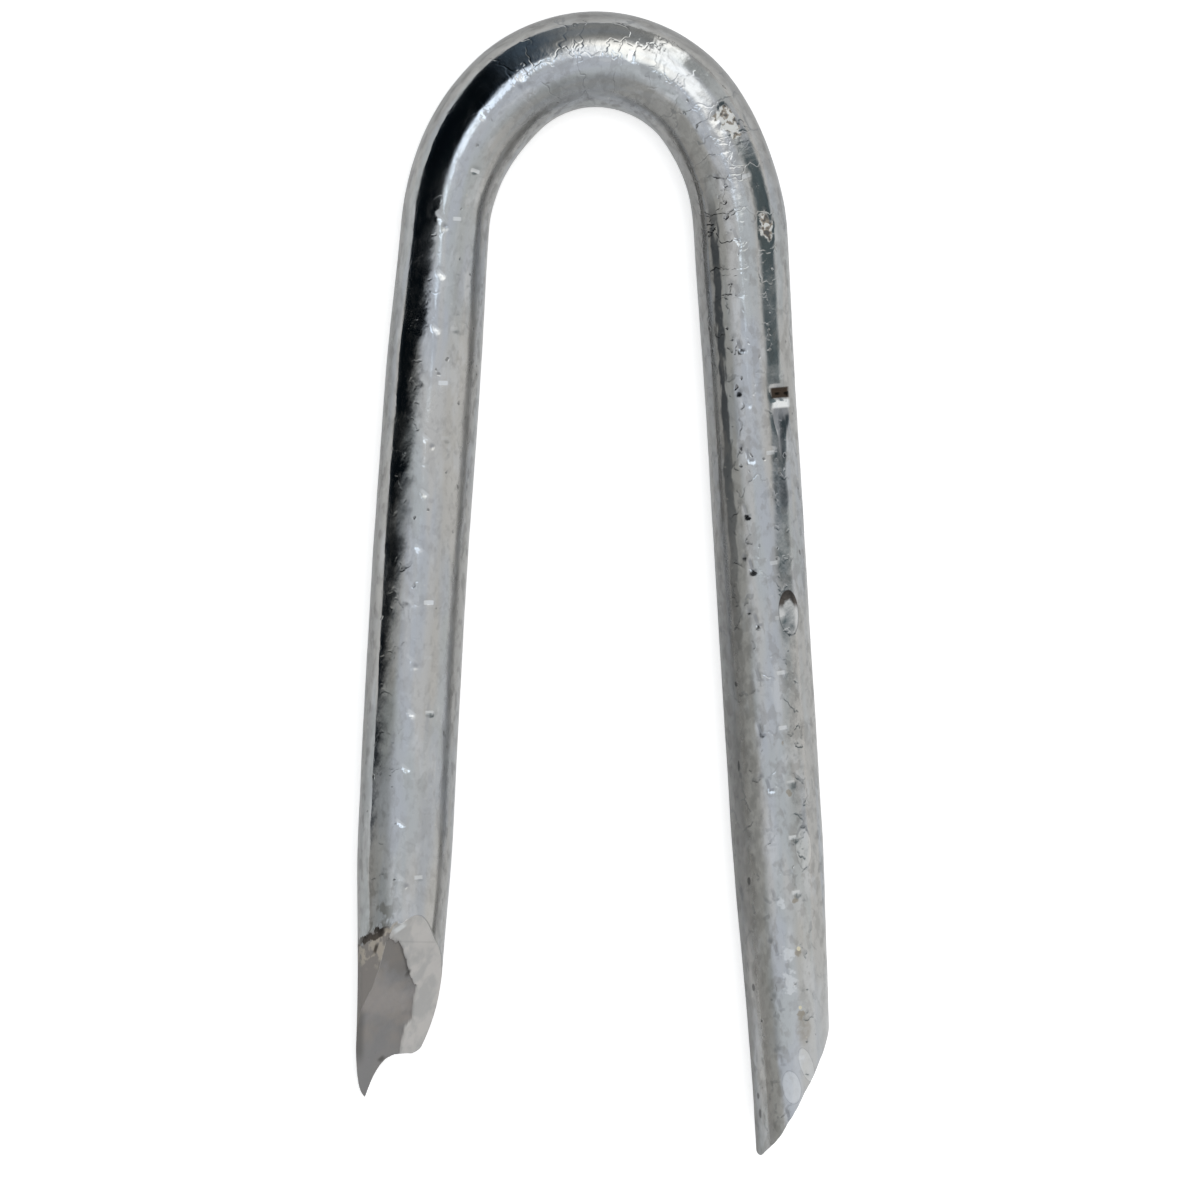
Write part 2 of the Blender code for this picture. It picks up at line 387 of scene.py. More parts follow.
# %% The heights of both faces, with band and fracture
# Places on the ridge between band and fracture, in millimetres: out from mid cut, and across
RIDGE = ((-3.00, -1.70), (-2.92, -0.50), (-2.78, -0.05), (-2.44, 0.16), (-1.97, 0.27), (-1.54, 0.39),
         (-0.97, 0.67), (-0.37, 0.57), (0.30, 0.51), (0.96, 0.21), (1.70, 0.09), (3.40, -0.60))
RIDGE_RAGGED = 0.30 * MM
FRACTURE_DEPTH = 0.10 * MM
FRACTURE_GRAIN = 0.08 * MM
BREAK_GRAIN = 0.07 * MM
LEAD_IN_DEPTH = 0.85 * MM
LEAD_IN_GROOVE = 0.50 * MM


def ridge_line(out):
    """How far across the ridge between band and fracture lies, at each height of the left face."""
    across = out * 0.0 + RIDGE[0][1] * MM
    for (before, low), (after, high) in zip(RIDGE, RIDGE[1:]):
        across = across + out.ease(before * MM, after * MM) * ((high - low) * MM)
    return across


def grain(across, out, depth, seed_offset):
    """The pitted grain of a fracture, inwards from its surface."""
    coarse = noise(wire_tree, across, out, across * 0.0, (1.3, 0.9, 0.0), 3.0, seed_offset)
    fine = noise(wire_tree, across, out, across * 0.0, (4.5, 3.0, 0.0), 3.0, seed_offset + 5.0)
    return (coarse.ease(0.3, 0.7) * 0.65 + fine.ease(0.3, 0.7) * 0.35) * depth


def past_ridge(across, out):
    """How far into the fracture each point of the left face is, measured across from the ridge."""
    ragged = noise(wire_tree, across, out, across * 0.0, (2.2, 1.4, 0.0), 3.0, 31.0) - 0.5
    return ridge_line(out) + ragged * RIDGE_RAGGED - across


def lead_in(across, level):
    """How much further back the face lies where the blade bit in, at the top of the wire."""
    groove = hump(across, -0.40 * MM, 0.50 * MM)
    return level.ease_mm(1.0, 1.75) * (groove * LEAD_IN_GROOVE + LEAD_IN_DEPTH)


def left_face_height(across, level):
    slant = math.sin(LEFT_SLASH[0])
    claw = across.ease_mm(-0.8, -1.3) * level.ease_mm(-0.2, -0.9)
    plane = slash_height(across, level, LEFT_SLASH) - lead_in(across, level) + claw * CLAW_DRAW
    torn = past_ridge(across, plane).ease_mm(-0.05, 0.06) * plane.ease_mm(2.6, 1.2)
    grainy = grain(across, plane, FRACTURE_GRAIN / slant, 3.0) + FRACTURE_DEPTH / slant
    broken = break_height(across) - grain(across, level, BREAK_GRAIN, 47.0)
    return (plane - torn * grainy).least(broken)


def right_face_height(across, level):
    slant = math.sin(RIGHT_SLASH[0])
    plane = slash_height(across, level, RIGHT_SLASH)
    torn = plane.ease_mm(-1.4, -0.9)
    return plane - torn * grain(across, plane, BREAK_GRAIN / slant, 61.0)


print("Places on the ridge:", len(RIDGE))

# %% Where the rim of each face is
full_across = round_across * size("Wire radius")
left_across = full_across * -LEFT_END_WIDTH
left_rim = slash_height(left_across, section_level, LEFT_SLASH)
for _ in range(3):
    rim_across, rim_level = planed(left_across, section_level, left_rim)
    left_rim = left_face_height(rim_across, rim_level)
right_across = full_across * RIGHT_END_WIDTH
right_rim = right_face_height(right_across, section_level)
tell("Rims", wire_tree)

# %% How far along the wire each ring is
# The rings tilt towards each cut over the last stretch of the leg, so that none of them is cut through.
TILT_LENGTH = 13.0 * MM
level_along = side_share * (RIGHT_CUT - LEFT_CUT) + LEFT_CUT
from_left = (level_along - LEFT_CUT) / TILT_LENGTH
from_right = (RIGHT_CUT - level_along) / TILT_LENGTH
left_tilt = from_left.ease(1.0, 0.0)
right_tilt = from_right.ease(1.0, 0.0)
side_along = level_along - left_rim * left_tilt + right_rim * right_tilt
tell("Rings", wire_tree)

# %% The width along the wire
# The former pinches one neck and swells the apex, and the shear draws both ends thinner.
NECK_LENGTH = 6.5 * MM
LEFT_TAPER_LENGTH = 7.5 * MM
RIGHT_TAPER_LENGTH = 11.0 * MM
# Each is a place along the wire, and the width there as a share of the wire's diameter
WIDTHS = (
    (LEFT_CUT, LEFT_END_WIDTH),
    (LEFT_CUT + LEFT_TAPER_LENGTH, 1.018),
    (starts["left shoulder"] - NECK_LENGTH, 1.018),
    (starts["left shoulder"], 0.945),
    (starts["left apex"], 1.02),
    (starts["right apex"], 1.02),
    ((starts["right shoulder"] + starts["right leg"]) / 2, 0.968),
    (starts["right leg"], 1.0),
    (starts["right leg"] + NECK_LENGTH, 0.974),
    (RIGHT_CUT - RIGHT_TAPER_LENGTH, 0.974),
    (RIGHT_CUT, RIGHT_END_WIDTH),
)
width = side_along * 0.0 + WIDTHS[0][1]
for (before, low), (after, high) in zip(WIDTHS, WIDTHS[1:]):
    if low != high:
        width = width + side_along.ease(before, after) * (high - low)
print("Widths in mm:", [round(share * WIRE_DIAMETER / MM, 2) for _, share in WIDTHS])

# %% [markdown]
# ## Marks in the zinc
# Every fence staple of this kind carries the bite of the feed rolls: a pair of short marks at each
# tooth, one pitch apart, all along the wire. They repeat, so they come from one sum: the place along
# the wire is divided by the pitch, the whole part numbers the tooth and the rest places the mark.
# The marks that don't repeat are listed with their place along the wire and round it: a square nick,
# a stain, an oval dimple, two flaked patches, and the flecks, spots and pits near the long leg's
# point. A sculpt brush could make them, but a list can be read. The shape and the colour read the
# same sums, so the painted highlight on the lip of a nick lies on its real edge.
# All relief goes inwards, so the wire never grows past its size.

# %% Single marks on the long leg and the crown
# Each mark is its place along the wire and round from the top, its half length and half width, all
# in millimetres, and its slant in degrees
SQUARE_NICK = (63.05, 1.35, 0.25, 0.60, 2.0)
# The lip of the nick is only a painted highlight
NICK_LIP_HIGHLIGHT = (63.49, 1.35, 0.22, 0.66, 2.0)
NICK_SHADOW = (64.00, 1.33, 0.82, 0.56, 0.0)
NICK_TAIL = (64.60, 1.25, 1.60, 0.24, 0.0)
SPINDLE_STAIN = (67.07, 1.20, 0.95, 0.30, 2.0)
OVAL_DIMPLE = (71.87, 1.10, 0.95, 0.52, 2.0)
FAINT_OVAL = (81.27, 1.12, 0.92, 0.42, 0.0)
TIP_OVALS = ((90.80, -0.08, 0.70, 0.46, 10.0), (89.95, 0.72, 0.76, 0.34, 20.0))
PALE_PATCHES = ((85.50, 0.12, 0.42, 0.44, -14.0), (83.45, -0.02, 0.34, 0.22, 12.0),
                (86.60, 0.15, 0.62, 0.50, 0.0))
GOLD_FLECKS = ((85.29, 0.62, 0.11, 0.11, 0.0), (87.64, 0.55, 0.10, 0.10, 0.0))
BROWN_SPOTS = ((83.34, 0.59, 0.22, 0.26, 0.0), (85.45, 0.60, 0.26, 0.22, 0.0),
               (87.90, 0.56, 0.30, 0.26, 0.0), (79.07, 0.56, 0.22, 0.20, 0.0),
               (77.01, 0.44, 0.18, 0.16, 0.0))
TAN_HAZE = (88.50, 0.66, 0.85, 0.50, 0.0)
EDGE_PITS = ((82.50, -1.47, 0.22, 0.14, 0.0), (86.76, -1.76, 0.22, 0.16, 0.0),
             (91.13, -2.06, 0.18, 0.18, 0.0), (91.81, -1.94, 0.26, 0.18, 0.0),
             (74.60, -1.50, 0.14, 0.12, 0.0), (77.90, -1.62, 0.30, 0.10, 0.0))
FLAKED_PATCHES = ((52.30, 0.82, 1.00, 0.72, 30.0), (56.40, 1.16, 0.78, 0.46, 0.0))
print("Spots and pits:", len(BROWN_SPOTS) + len(EDGE_PITS))

# %% How far inside a mark each point is
def turned(along, arc, mark):
    """Place along and across a mark, from its middle and turned by its slant."""
    down = along - mark[0] * MM
    sideways = arc - mark[1] * MM
    slant = math.radians(mark[4])
    return (down * math.cos(slant) + sideways * math.sin(slant),
            sideways * math.cos(slant) - down * math.sin(slant))


def square(along, arc, mark, softness):
    """A square-cornered mark: 1 in its middle, and 0 past its edges, which are a share of it."""
    down, sideways = turned(along, arc, mark)
    half_long, half_wide = mark[2] * MM, mark[3] * MM
    return (down.size().ease(half_long, half_long * softness)
            * sideways.size().ease(half_wide, half_wide * softness))


def oval(along, arc, mark):
    """How far into an oval mark each point is: 1 in its middle, 0 at its edge and beyond."""
    down, sideways = turned(along, arc, mark)
    long_way = down / (mark[2] * MM)
    cross_way = sideways / (mark[3] * MM)
    return (1.0 - (long_way * long_way + cross_way * cross_way).math("SQRT")).most(0.0)

# %% The bite of one tooth
# Measured as the marks above are, but from the tooth's own middle
TOOTH_BAR = (0.0, 0.0, 0.12, 0.26, 4.0)
SLANTED_STROKE = (-0.04, 0.0, 0.10, 0.28, -38.0)
UPRIGHT_STROKE = (0.0, 0.0, 0.30, 0.10, 14.0)
UPRIGHT_FOOT = (0.24, 0.10, 0.08, 0.20, 0.0)
TOOTH_DENT = (-0.34, -0.25, 0.16, 0.18, -25.0)
# How far round from the top the bar and the stroke lie, on the short leg and on the long leg
BAR_ARCS = (-0.63, 0.55)
STROKE_ARCS = (0.11, -0.42)
TOOTH_LOOSE = 0.36 * MM


def tooth_chance(tooth, offset):
    """A random number from 0 to 1 that stays the same over one tooth."""
    node = lay(tooth.tree, "ShaderNodeTexWhiteNoise", {"W": tooth + offset}, noise_dimensions="1D")
    return Reading(tooth.tree, node.outputs["Value"])


def tooth_marks(along, arc, tooth_place, pitch):
    """The bar, the slanted stroke and the dent of each feed roll tooth, each from 0 to 1.

    Over the crown the bar crosses from the inner side of the wire's top to the outer side.
    """
    tooth = tooth_place.math("FLOOR")
    tooth_along = (tooth_place.math("FRACT") - 0.5) * pitch
    past_crown = along.ease_mm(42.0, 52.0)
    own_arc = arc - (tooth_chance(tooth, 11.0) - 0.5) * TOOTH_LOOSE
    bar_arc = own_arc - (past_crown * (BAR_ARCS[1] - BAR_ARCS[0]) + BAR_ARCS[0]) * MM
    stroke_arc = own_arc - (past_crown * (STROKE_ARCS[1] - STROKE_ARCS[0]) + STROKE_ARCS[0]) * MM
    bar = square(tooth_along, bar_arc, TOOTH_BAR, 0.45)
    slanted = square(tooth_along, stroke_arc, SLANTED_STROKE, 0.4)
    upright = square(tooth_along, stroke_arc, UPRIGHT_STROKE, 0.4)
    upright = upright.most(square(tooth_along, stroke_arc, UPRIGHT_FOOT, 0.4))
    stroke = slanted.blend(upright, past_crown)
    dent = square(tooth_along, stroke_arc, TOOTH_DENT, 0.1)
    bar = bar * tooth_chance(tooth, 3.0).ease(0.15, 0.9) * (1.0 - past_crown * 0.4)
    stroke = stroke * (tooth_chance(tooth, 5.0) * 0.8 + 0.2)
    dent = dent * tooth_chance(tooth, 8.0).ease(0.35, 0.9)
    return bar, stroke, dent

# %% Slow waves and fine lumps of the zinc
SKIN_DEPTH = 0.005 * MM
LUMP_DEPTH = 0.005 * MM
side_across = full_across * width
top_arc = round_across.math("ARCSINE") * WIRE_RADIUS
top_arc = top_arc.blend(WIRE_DIAMETER * 2.0, (-round_level).above(0.0))
seed = size("Seed")
waves = noise(wire_tree, side_across, side_along, section_level, (0.45, 0.2, 0.45), 2.0, seed)
lumps = noise(wire_tree, side_across, side_along, section_level, (1.5, 0.9, 1.5), 3.0, seed + 7.0)
relief = waves.ease(0.25, 0.75) * -size("Zinc waviness") - lumps.ease(0.3, 0.7) * LUMP_DEPTH - SKIN_DEPTH
tell("Waves", wire_tree)

# %% Press the marks in
NICK_DEPTH = 0.11 * MM
SCUFF_DEPTH = 0.06 * MM
# Each is a mark, how far in from its edge it is fully deep, and that depth in millimetres
HOLLOWS = (
    (NICK_SHADOW, 0.6, 0.07),
    (NICK_TAIL, 0.6, 0.03),
    (OVAL_DIMPLE, 0.9, 0.004),
    (FAINT_OVAL, 0.9, 0.008),
    (TIP_OVALS[0], 0.9, 0.008),
    (TIP_OVALS[1], 0.9, 0.008),
)
tooth_place = (side_along - LEFT_CUT) / size("Tooth pitch") + seed * 10.0
bar, stroke, dent = tooth_marks(side_along, top_arc, tooth_place, size("Tooth pitch"))
relief = relief - (bar + stroke * 0.8 + dent * 0.7) * size("Tooth depth")
relief = relief - square(side_along, top_arc, SQUARE_NICK, 0.4) * NICK_DEPTH
for mark, full_at, depth in HOLLOWS:
    relief = relief - oval(side_along, top_arc, mark).ease(0.0, full_at) * (depth * MM)
scuffed = side_along * 0.0
crumbs = noise(wire_tree, side_across, side_along, section_level, (2.6, 2.6, 2.6), 4.0, 19.0)
for mark in FLAKED_PATCHES:
    inside = oval(side_along, top_arc, mark)
    crumbled = (inside * 0.7 + (crumbs - 0.5) * 1.6).ease(0.20, 0.42)
    scuffed = scuffed.most(crumbled * inside.ease(0.0, 0.2))
relief = relief - scuffed * crumbs.ease(0.35, 0.65) * SCUFF_DEPTH
tell("Marks", wire_tree)

# %% The side of the wire, planed by the flake
side_x = side_across + relief * round_across
side_level = (section_level + relief * round_level).least(size("Flat level")).most(-size("Flat level"))
left_out = LEFT_CUT - side_along
planed_x, planed_level = planed(-side_x, side_level, left_out)
flaked = ((planed_x + side_x).size() + (planed_level - side_level).size()).ease_mm(0.01, 0.05)
tell("Flake", wire_tree)

# %% Put the faces and the side together
RIM_CROWDING = 1.3


def face_reach(reach):
    """How far from the face's middle each of its rings is, closer together at the rim."""
    return 1.0 - (1.0 - reach) ** RIM_CROWDING


left_spread = face_reach(left_reach)
right_spread = face_reach(right_reach)
left_face_x = rim_across * left_spread
left_face_level = rim_level * left_spread
right_face_x = right_across * right_spread
right_face_level = section_level * right_spread
left_face_out = left_face_height(left_face_x, left_face_level)
right_face_out = right_face_height(right_face_x, right_face_level)
left_slash_out = slash_height(left_face_x, left_face_level, LEFT_SLASH)
left_slash_out = left_slash_out - lead_in(left_face_x, left_face_level)
into_fracture = past_ridge(left_face_x, left_slash_out)
out_x = (-planed_x).blend(-left_face_x, on_left_face).blend(right_face_x, on_right_face)
out_level = planed_level.blend(left_face_level, on_left_face).blend(right_face_level, on_right_face)
out_along = side_along.blend(LEFT_CUT - left_face_out, on_left_face)
out_along = out_along.blend(RIGHT_CUT + right_face_out, on_right_face)
tell("Faces", wire_tree)

# %% Carry every point to its place on the path
path = lay(wire_tree, "GeometryNodeMeshToCurve", {"Mesh": given.outputs["Middle line"]})
on_path = lay(wire_tree, "GeometryNodeSampleCurve", {"Curves": path.outputs[0], "Length": out_along},
              mode="LENGTH")
heading = lay(wire_tree, "ShaderNodeSeparateXYZ", {0: on_path.outputs["Tangent"]})
outward = lay(wire_tree, "ShaderNodeCombineXYZ",
              {0: -Reading(wire_tree, heading.outputs["Y"]), 1: heading.outputs["X"]})
sideways = lay(wire_tree, "ShaderNodeVectorMath", {0: outward.outputs[0], "Scale": out_x},
               operation="SCALE")
lifted = lay(wire_tree, "ShaderNodeCombineXYZ", {2: out_level})
moved = lay(wire_tree, "ShaderNodeVectorMath", {0: sideways.outputs[0], 1: lifted.outputs[0]},
            operation="ADD")
placed = lay(wire_tree, "ShaderNodeVectorMath", {0: on_path.outputs["Position"], 1: moved.outputs[0]},
             operation="ADD")
tell("Places", wire_tree)

# %% Keep what the zinc needs to know, shape the grid and weld it
straight_place = lay(wire_tree, "ShaderNodeCombineXYZ", {0: out_x, 1: out_along, 2: out_level})
KEPT = {
    "straight_place": ("FLOAT_VECTOR", straight_place.outputs[0]),
    "top_arc": ("FLOAT", top_arc),
    "tooth_place": ("FLOAT", tooth_place),
    "cut_face": ("FLOAT", on_left_face.most(on_right_face)),
    "into_fracture": ("FLOAT", into_fracture),
    "scuffed": ("FLOAT", scuffed),
    "flaked": ("FLOAT", flaked * (1.0 - on_left_face)),
}
shaped = grid.outputs["Mesh"]
for name, (kind, value) in KEPT.items():
    stored = lay(wire_tree, "GeometryNodeStoreNamedAttribute",
                 {"Geometry": shaped, "Name": name, "Value": value}, data_type=kind, domain="POINT")
    shaped = stored.outputs[0]
zinc = bpy.data.materials.new("galvanised_zinc")
zinc.use_nodes = True
WELD_DISTANCE = 0.0002 * MM
FINISHING = (
    ("GeometryNodeSetPosition", {"Position": placed.outputs[0]}),
    ("GeometryNodeMergeByDistance", {"Distance": WELD_DISTANCE}),
    ("GeometryNodeSetShadeSmooth", {}),
    ("GeometryNodeRealizeInstances", {}),
    ("GeometryNodeSetMaterial", {"Material": zinc}),
)
for kind, inputs in FINISHING:
    shaped = lay(wire_tree, kind, {"Geometry": shaped, **inputs}).outputs[0]
wire_tree.links.new(shaped, wire_tree.nodes.new("NodeGroupOutput").inputs[0])
print("Nodes in the wire's tree:", len(wire_tree.nodes))

# %% Run the tree on the middle line
line_mesh = bpy.data.meshes.new("middle_line")
line_mesh.from_pydata(middle_line, [(index, index + 1) for index in range(len(middle_line) - 1)], [])
line = bpy.data.objects.new("middle_line", line_mesh)
bpy.context.scene.collection.objects.link(line)
bend = line.modifiers.new("bent_wire", "NODES")
bend.node_group = wire_tree
for item in wire_tree.interface.items_tree:
    if item.name in SIZE_INPUTS:
        bend[item.identifier] = SIZE_INPUTS[item.name][1]
bpy.context.view_layer.update()
evaluated = line.evaluated_get(bpy.context.evaluated_depsgraph_get())
wire_mesh = bpy.data.meshes.new_from_object(evaluated)
bpy.data.objects.remove(line)
wire_mesh.name = "staple_wire"
staple = bpy.data.objects.new("staple_wire", wire_mesh)
bpy.context.scene.collection.objects.link(staple)
print("Points of the wire:", len(wire_mesh.vertices))

# %% Turn the faces outwards and mark the sheared rims
form = bmesh.new()
form.from_mesh(wire_mesh)
if form.calc_volume(signed=True) < 0.0:
    bmesh.ops.reverse_faces(form, faces=form.faces)
print("Volume in mm3:", round(form.calc_volume(signed=True) / MM**3, 1))
print("Open edges:", sum(not edge.is_manifold for edge in form.edges))
face_layer = form.verts.layers.float["cut_face"]
for edge in form.edges:
    on_side = all(vertex[face_layer] == 0.0 for vertex in edge.verts)
    if on_side and any(vertex[face_layer] > 0.5 for face in edge.link_faces for vertex in face.verts):
        edge.smooth = False
form.to_mesh(wire_mesh)
form.free()
triangles = sum(len(face.vertices) - 2 for face in wire_mesh.polygons)
print("Triangles:", triangles)

# %% [markdown]
# ## Hot-dip zinc
# Molten zinc freezes on the steel as a thin bright skin. It dulls to a blue-grey film with warmer
# patches and soil at its edges, it crazes where the wire was bent or rolled, and small pits and
# drawn streaks show in it. A picture wrapped round the wire would need a seam; here every pattern
# reads the place of the point on the wire before it was bent, so streaks follow the bend and
# nothing slides. The colour is built up in layers, as the coat is.

# %% Read the straight wire in the material
zinc_tree = zinc.node_tree
zinc_tree.nodes.clear()


def kept(name):
    return Reading(zinc_tree, lay(zinc_tree, "ShaderNodeAttribute", attribute_name=name).outputs["Fac"])


straight_node = lay(zinc_tree, "ShaderNodeAttribute", attribute_name="straight_place")
straight = lay(zinc_tree, "ShaderNodeSeparateXYZ", {0: straight_node.outputs["Vector"]})
across, along, level = (Reading(zinc_tree, straight.outputs[index]) for index in range(3))
arc = kept("top_arc")
cut_face = kept("cut_face").ease(0.3, 0.7)
into_fracture = kept("into_fracture")
in_scuff = kept("scuffed").ease(0.2, 0.8)
in_flake = kept("flaked")
side_ratio = across / WIRE_RADIUS


def zinc_noise(round_scale, along_scale, detail, seed):
    """Noise over the straight wire. Scales are lumps per millimetre, round the wire and along it."""
    scales = (round_scale, along_scale, round_scale)
    return noise(zinc_tree, across, along, level, scales, detail, seed)


tell("Places on the wire", zinc_tree)

# %% The film: soft patches of blue, green-grey and warm grey along the wire
BLUE_FILM = (0.600, 0.625, 0.660)
GREEN_FILM = (0.600, 0.625, 0.625)
WARM_FILM = (0.680, 0.665, 0.635)
PALE_FILM_AND_PAINTED_LIGHT = (0.78, 0.79, 0.80)
DULL_FILM_AND_PAINTED_SHADE = (0.30, 0.295, 0.285)
coat = Layers(BLUE_FILM, GREEN_FILM, zinc_noise(0.9, 0.22, 2.0, 2.0).ease(0.44, 0.58))
warm = zinc_noise(1.1, 0.12, 2.0, 9.0) + side_ratio.size() * 0.12
coat.add(WARM_FILM, warm.ease(0.48, 0.66))
coat.add(PALE_FILM_AND_PAINTED_LIGHT, zinc_noise(1.6, 0.5, 3.0, 16.0).ease(0.52, 0.70) * 0.7)
speckle = zinc_noise(5.0, 2.6, 3.0, 14.0)
coat.add(DULL_FILM_AND_PAINTED_SHADE, speckle.ease(0.50, 0.72) * 0.22)
tell("Film", zinc_tree)

# %% Painted shade on the sides, soil on them, and the long leg's grainy inner side
EDGE_SOIL = (0.13, 0.12, 0.105)
TIP_OLIVE = (0.19, 0.18, 0.145)
edge_noise = (zinc_noise(1.4, 0.45, 3.0, 24.0) - 0.5) * 0.25
outer_side = (side_ratio + edge_noise).ease(0.72, 0.95)
inner_side = (edge_noise - side_ratio).ease(0.66, 0.86)
past_crown = along.ease_mm(50.0, 54.0)
# Painted shade: the outer and inner sides are darkened where they reflect the table in the wire's shadow, the
# outer side most on the short leg and the crown, the inner side most on the long leg
coat.add(DULL_FILM_AND_PAINTED_SHADE, outer_side * (0.70 - along.ease_mm(53.0, 58.0) * 0.58))
coat.add(DULL_FILM_AND_PAINTED_SHADE, inner_side * (past_crown * 0.40 + 0.26))
grey_side = (-side_ratio).ease(0.10, 0.35) * along.ease_mm(62.0, 74.0)
grey_side = grey_side * (along.ease_mm(88.0, 78.0) * 0.5 + 0.5)
grey_grain = zinc_noise(3.4, 1.8, 4.0, 36.0).ease(0.42, 0.60)
coat.add(DULL_FILM_AND_PAINTED_SHADE, grey_side * (grey_grain * 0.36 + 0.06))
# Painted shade along the inner edge of the long leg
inner_edge = (-side_ratio).ease(0.60, 0.90) * along.ease_mm(66.0, 80.0)
coat.add(DULL_FILM_AND_PAINTED_SHADE, inner_edge * 0.22)
tip_soil = zinc_noise(2.2, 1.5, 4.0, 99.0).ease(0.49, 0.58) * along.ease_mm(13.0, 8.0)
coat.add(TIP_OLIVE, tip_soil * hump(side_ratio, 0.38, 0.55) * 0.75)
soil = zinc_noise(3.2, 1.6, 4.0, 28.0).ease(0.50, 0.62) * side_ratio.size().ease(0.70, 0.92)
coat.add(EDGE_SOIL, soil * 0.45)
tell("Sides", zinc_tree)

# %% A painted dark reflection: a ragged dark band along the inside of the long leg
PAINTED_DARK_REFLECTION = (0.075, 0.085, 0.09)
band_ragged = edge_noise * 0.25 + (zinc_noise(2.0, 1.2, 4.0, 74.0) - 0.5) * 0.16
dark_reflection_band = hump(side_ratio + band_ragged, -0.57, 0.12).ease(0.0, 0.5)
dark_reflection_band = dark_reflection_band * along.ease_mm(54.0, 57.0) * along.ease_mm(78.0, 62.0)
dark_reflection_band = dark_reflection_band * zinc_noise(2.4, 0.5, 4.0, 73.0).ease(0.32, 0.42)
# The band is a painted reflection of the dark wall to the west
coat.add(PAINTED_DARK_REFLECTION, dark_reflection_band)
tell("Stain", zinc_tree)

# %% Crazing in broken lines, pits, and the crackle of the crown
CRACK_COLOUR = (0.24, 0.25, 0.26)
MOTTLE_BROWN = (0.31, 0.295, 0.27)
PIT_COLOUR = (0.10, 0.095, 0.09)


def cells(scales, seed, feature):
    """Voronoi cells over the straight wire, with their borders bent by noise."""
    bend_across = (zinc_noise(1.6, 1.6, 2.0, seed + 3.0) - 0.5) * 0.9
    bend_along = (zinc_noise(1.6, 1.6, 2.0, seed + 8.0) - 0.5) * 0.9
    place = lay(zinc_tree, "ShaderNodeCombineXYZ", {
        0: across * (scales[0] / MM) + bend_across + seed,
        1: along * (scales[1] / MM) + bend_along,
        2: level * (scales[2] / MM),
    })
    node = lay(zinc_tree, "ShaderNodeTexVoronoi", {"Vector": place.outputs[0], "Scale": 1.0},
               feature=feature)
    return Reading(zinc_tree, node.outputs["Distance"])


more_on_right = along.ease_mm(50.0, 58.0) * 0.6 + 0.4
broken_up = zinc_noise(1.9, 1.5, 2.0, 21.0).ease(0.52, 0.60)
cracks = cells((1.0, 0.8, 1.0), 5.0, "DISTANCE_TO_EDGE").ease(0.070, 0.015) * broken_up * more_on_right
pit_zone = zinc_noise(0.5, 0.3, 2.0, 33.0).ease(0.50, 0.60)
pits = cells((1.9, 1.5, 1.9), 12.0, "F1").ease(0.15, 0.07) * pit_zone
on_crown = along.ease_mm(40.0, 44.0) * along.ease_mm(61.0, 54.0)
crackle = cells((0.35, 0.70, 0.35), 17.0, "DISTANCE_TO_EDGE").ease(0.045, 0.0) * on_crown
crown_dull = zinc_noise(1.5, 2.2, 4.0, 58.0).ease(0.50, 0.60) * on_crown
crown_cracks = crackle.ease(0.5, 1.0) * zinc_noise(0.9, 0.9, 2.0, 77.0).ease(0.45, 0.55)
mottle = zinc_noise(2.2, 1.3, 4.0, 55.0).ease(0.52, 0.62) * more_on_right
coat.add(CRACK_COLOUR, cracks * (grey_side * 0.14 + 0.28))
coat.add(DULL_FILM_AND_PAINTED_SHADE, crown_dull * 0.24)
coat.add(CRACK_COLOUR, crown_cracks * 0.55)
coat.add(MOTTLE_BROWN, mottle * 0.36)
coat.add(PIT_COLOUR, pits * 0.6)
tell("Crazing", zinc_tree)

# %% The tooth marks as colour: painted highlights on the bar and the stroke, and painted shade in the dent and on the stroke past the crown
PAINTED_GLINT_AND_PALE_MARK = (0.95, 0.97, 0.98)
PAINTED_SHADE_AND_STAIN = (0.20, 0.21, 0.23)
bar, stroke, dent = tooth_marks(along, arc, kept("tooth_place"), SIZE_INPUTS["Tooth pitch"][1])
coat.add(PAINTED_SHADE_AND_STAIN, dent * 0.55)
coat.add(colour_mix(PAINTED_GLINT_AND_PALE_MARK, PAINTED_SHADE_AND_STAIN, past_crown), stroke * 0.6)
coat.add(PAINTED_GLINT_AND_PALE_MARK, bar.ease(0.1, 0.7))
tell("Tooth marks", zinc_tree)

# %% Patches, spots, pits and flecks towards the long leg's point, with painted light on its right side
GOLD_FLECK = (1.0, 0.93, 0.70)
SPOT_BROWN = (0.40, 0.35, 0.27)
# Painted light: the right part of the point is made paler, as if it faced the light
tip_painted_light = along.ease_mm(85.0, 89.5) * side_ratio.ease(-0.15, 0.25)
coat.add(PALE_FILM_AND_PAINTED_LIGHT, tip_painted_light * 0.55)
mark_crumbs = (zinc_noise(4.5, 4.5, 3.0, 71.0) - 0.5) * 1.8


def ragged_oval(mark, fullness, low, high, rim):
    """An oval mark that crumbles towards its rim."""
    inside = oval(along, arc, mark)
    return (inside * fullness + mark_crumbs).ease(low, high) * inside.ease(0.0, rim)


